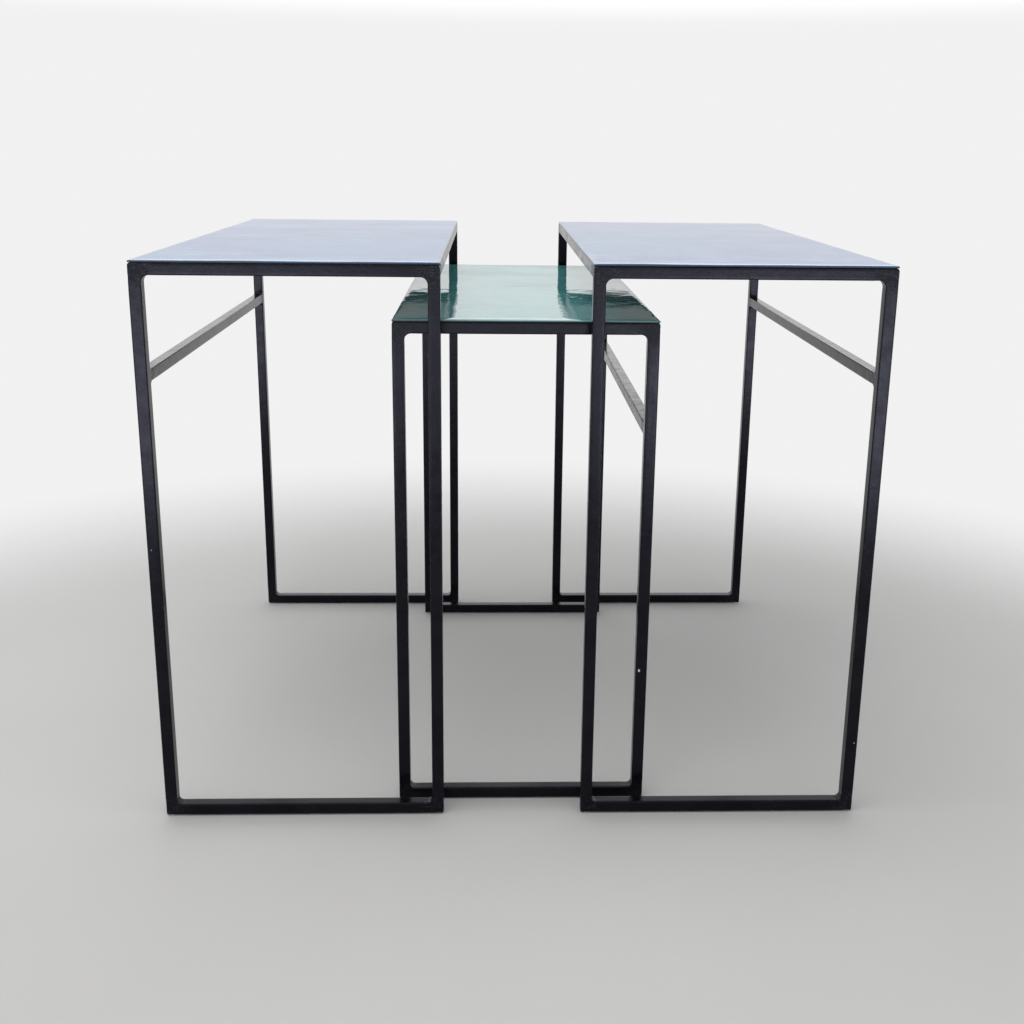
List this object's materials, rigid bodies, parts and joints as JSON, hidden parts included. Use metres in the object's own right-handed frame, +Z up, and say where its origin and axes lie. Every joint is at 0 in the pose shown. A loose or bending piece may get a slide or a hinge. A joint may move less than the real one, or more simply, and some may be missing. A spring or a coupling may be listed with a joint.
{
  "type": "nesting tables",
  "caption": "Nesting side tables with welded square-tube frames and thin glossy enamelled tops; the small table slides in under the long ones.",
  "frame": {"origin": "on the floor, under the middle of the whole row's bounding box, with the tables drawn apart as they stand at rest", "axes": "+X along the row, from the left table to the right one; +Y from the front of the row to its rear; +Z up"},
  "size_m": [0.7616, 0.61, 0.61],
  "materials": {
    "black_paint": "satin black powder coat",
    "blue_enamel": "gloss blue enamel, softly clouded and slightly rippled",
    "teal_enamel": "gloss teal enamel, slightly rippled",
    "clear_rubber": "clear rubber glide"
  },
  "bodies": {
    "left_table": {"left_table_front_bottom_rail": "black_paint", "left_table_front_left_glide": "clear_rubber", "left_table_front_left_leg": "black_paint", "left_table_front_right_glide": "clear_rubber", "left_table_front_right_leg": "black_paint", "left_table_front_top_rail": "black_paint", "left_table_left_side_rail": "black_paint", "left_table_rear_bottom_rail": "black_paint", "left_table_rear_left_glide": "clear_rubber", "left_table_rear_left_leg": "black_paint", "left_table_rear_right_glide": "clear_rubber", "left_table_rear_right_leg": "black_paint", "left_table_rear_top_rail": "black_paint", "left_table_right_side_rail": "black_paint", "left_table_stretcher": "black_paint", "left_table_top_panel": "blue_enamel"},
    "right_table": {"right_table_front_bottom_rail": "black_paint", "right_table_front_left_glide": "clear_rubber", "right_table_front_left_leg": "black_paint", "right_table_front_right_glide": "clear_rubber", "right_table_front_right_leg": "black_paint", "right_table_front_top_rail": "black_paint", "right_table_left_side_rail": "black_paint", "right_table_rear_bottom_rail": "black_paint", "right_table_rear_left_glide": "clear_rubber", "right_table_rear_left_leg": "black_paint", "right_table_rear_right_glide": "clear_rubber", "right_table_rear_right_leg": "black_paint", "right_table_rear_top_rail": "black_paint", "right_table_right_side_rail": "black_paint", "right_table_stretcher": "black_paint", "right_table_top_panel": "blue_enamel"},
    "small_table": {"small_table_front_bottom_rail": "black_paint", "small_table_front_left_glide": "clear_rubber", "small_table_front_left_leg": "black_paint", "small_table_front_right_glide": "clear_rubber", "small_table_front_right_leg": "black_paint", "small_table_front_top_rail": "black_paint", "small_table_left_side_rail": "black_paint", "small_table_rear_bottom_rail": "black_paint", "small_table_rear_left_glide": "clear_rubber", "small_table_rear_left_leg": "black_paint", "small_table_rear_right_glide": "clear_rubber", "small_table_rear_right_leg": "black_paint", "small_table_rear_top_rail": "black_paint", "small_table_right_side_rail": "black_paint", "small_table_stretcher": "black_paint", "small_table_top_panel": "teal_enamel"}
  },
  "joints": [
    {"name": "small_table_slide", "type": "slide", "parent": "left_table", "child": "small_table", "axis": [1, 0, 0], "range_m": [-0.2385, 0.066]},
    {"name": "right_table_slide", "type": "slide", "parent": "left_table", "child": "right_table", "axis": [1, 0, 0], "range_m": [-0.151, 0.2]}
  ]
}
